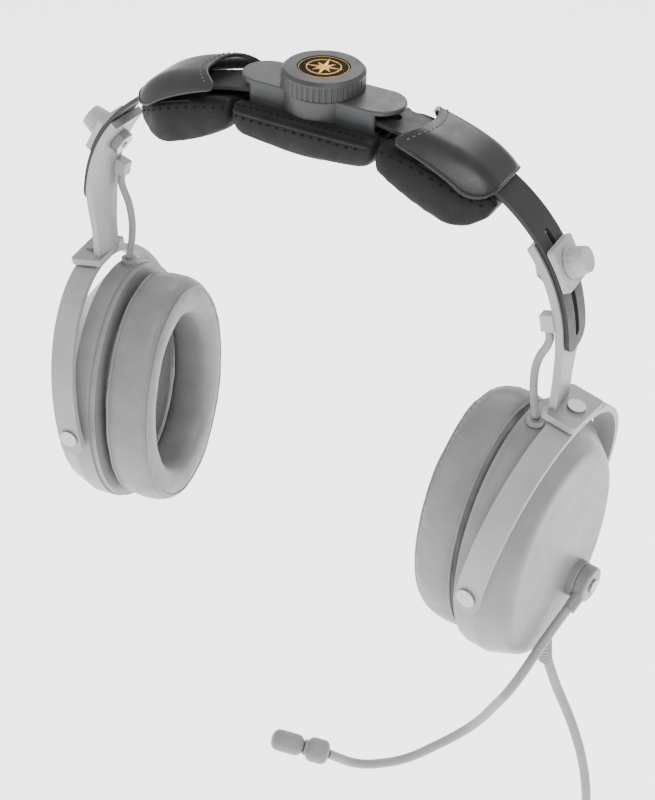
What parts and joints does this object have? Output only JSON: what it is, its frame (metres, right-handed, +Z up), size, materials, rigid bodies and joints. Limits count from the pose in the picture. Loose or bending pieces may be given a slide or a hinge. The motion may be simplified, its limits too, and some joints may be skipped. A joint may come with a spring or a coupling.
{
  "type": "aviation headset",
  "caption": "Adjustable over-head aviation headset with padded headband, size dial, height arms, ear cups in yokes, microphone boom and a coiled cable with plug.",
  "frame": {"origin": "middle of the wearer's head at ear-cup height", "axes": "+X to the wearer's left, where the boom is; -Y to the wearer's front; +Z up"},
  "size_m": [0.2615, 0.1484, 0.548],
  "materials": {
    "cap_plastic": "fine satin",
    "knob_plastic": "fine satin",
    "badge": "gloss black with a printed gold star",
    "steel": "plain",
    "spring_band": "black satin on spring steel",
    "pad_leather": "smooth black leather with stitches",
    "sleeve_leather": "soft dark grey leather",
    "arm_metal": "satin grey",
    "clamp_plastic": "pale grey",
    "yoke_metal": "satin grey",
    "shell_plastic": "pale grey, semi gloss",
    "seal_leather": "grey leatherette over foam",
    "foam": "open-cell foam",
    "driver": "black",
    "cord_rubber": "grey",
    "boom_metal": "satin grey",
    "mic_plastic": "grey",
    "plug_brass": "bright"
  },
  "bodies": {
    "headband": {"housing_base": "cap_plastic", "housing_cap": "cap_plastic", "housing_screws": "steel", "friction_washer": "steel", "centre_pad": "pad_leather", "pad_plate": "cap_plastic", "left_pad": "pad_leather", "right_pad": "pad_leather", "left_sleeve": "sleeve_leather", "right_sleeve": "sleeve_leather"},
    "dial": {"dial_knob": "knob_plastic", "dial_badge": "badge", "dial_screw": "steel", "dial_pinion": "steel"},
    "left_strap": {"left_band": "spring_band", "left_rack": "steel"},
    "left_height_arm": {"left_arm": "arm_metal", "left_clamp_block": "clamp_plastic", "left_clamp_nut": "steel", "left_lead_clip": "clamp_plastic", "left_swivel_rivet": "steel", "left_lead": "cord_rubber"},
    "left_thumb": {"left_thumb_screw": "clamp_plastic"},
    "left_fork": {"left_yoke": "yoke_metal", "left_pivot_pins": "steel"},
    "left_cup": {"left_dome": "shell_plastic", "left_baffle": "shell_plastic", "left_ear_seal": "seal_leather", "left_speaker": "driver", "left_ear_foam": "foam", "left_grommet": "cord_rubber", "boom_base": "shell_plastic", "boom_screw": "steel", "strain_relief": "cord_rubber", "main_cable": "cord_rubber", "cable_tie": "cord_rubber", "cable_coil": "cord_rubber", "plug_body": "mic_plastic", "plug_pin": "plug_brass"},
    "right_strap": {"right_band": "spring_band", "right_rack": "steel"},
    "right_height_arm": {"right_arm": "arm_metal", "right_clamp_block": "clamp_plastic", "right_clamp_nut": "steel", "right_lead_clip": "clamp_plastic", "right_swivel_rivet": "steel", "right_lead": "cord_rubber"},
    "right_thumb": {"right_thumb_screw": "clamp_plastic"},
    "right_fork": {"right_yoke": "yoke_metal", "right_pivot_pins": "steel"},
    "right_cup": {"right_dome": "shell_plastic", "right_baffle": "shell_plastic", "right_ear_seal": "seal_leather", "right_speaker": "driver", "right_ear_foam": "foam", "right_grommet": "cord_rubber"},
    "boom": {"boom_pivot": "shell_plastic", "boom_tube": "boom_metal", "mic_collar": "mic_plastic", "mic_capsule": "mic_plastic"}
  },
  "joints": [
    {"name": "left_band_slide", "type": "hinge", "parent": "headband", "child": "left_strap", "pos_m": [0, 0, -0.025], "axis": [0, 1, 0], "range_deg": [-2.16, 2.16]},
    {"name": "right_band_slide", "type": "hinge", "parent": "headband", "child": "right_strap", "pos_m": [0, 0, -0.025], "axis": [0, 1, 0], "range_deg": [-2.17, 2.17]},
    {"name": "dial_turn", "type": "hinge", "parent": "headband", "child": "dial", "pos_m": [0, 0, 0.16], "axis": [0, 0, 1], "range_deg": [-80.5, 80.5]},
    {"name": "left_height", "type": "hinge", "parent": "left_strap", "child": "left_height_arm", "pos_m": [0.03674, 0, 0.08292], "axis": [0, 1, 0], "range_deg": [-8, 10]},
    {"name": "left_thumb_turn", "type": "hinge", "parent": "left_height_arm", "child": "left_thumb", "pos_m": [0.09736, 0, 0.11792], "axis": [0.866, 0, 0.5], "continuous": true},
    {"name": "left_swivel", "type": "hinge", "parent": "left_height_arm", "child": "left_fork", "pos_m": [0.10626, 0.00077, 0.05542], "axis": [0.1376, -0.0206, 0.9903], "range_deg": [-12, 12], "deforming": ["left_lead"]},
    {"name": "left_tilt", "type": "hinge", "parent": "left_fork", "child": "left_cup", "pos_m": [0.098, 0.002, -0.004], "axis": [0.1478, 0.989, 0], "range_deg": [-14, 4], "deforming": ["left_lead"]},
    {"name": "right_height", "type": "hinge", "parent": "right_strap", "child": "right_height_arm", "pos_m": [-0.03674, 0, 0.08292], "axis": [0, -1, 0], "range_deg": [-8, 10]},
    {"name": "right_thumb_turn", "type": "hinge", "parent": "right_height_arm", "child": "right_thumb", "pos_m": [-0.09736, 0, 0.11792], "axis": [-0.866, 0, 0.5], "continuous": true},
    {"name": "right_swivel", "type": "hinge", "parent": "right_height_arm", "child": "right_fork", "pos_m": [-0.10626, 0.00077, 0.05542], "axis": [0.1376, 0.0206, -0.9903], "range_deg": [-12, 12], "deforming": ["right_lead"]},
    {"name": "right_tilt", "type": "hinge", "parent": "right_fork", "child": "right_cup", "pos_m": [-0.098, 0.002, -0.004], "axis": [0.1478, -0.989, 0], "range_deg": [-14, 4], "deforming": ["right_lead"]},
    {"name": "boom_turn", "type": "hinge", "parent": "left_cup", "child": "boom", "pos_m": [0.11817, 0.01516, -0.034], "axis": [0.989, -0.1478, 0], "range_deg": [-36, 30]}
  ],
  "couplings": [
    {"joint": "right_band_slide", "follows": "left_band_slide", "ratio": -1},
    {"joint": "dial_turn", "follows": "left_band_slide", "ratio": 36.938}
  ]
}
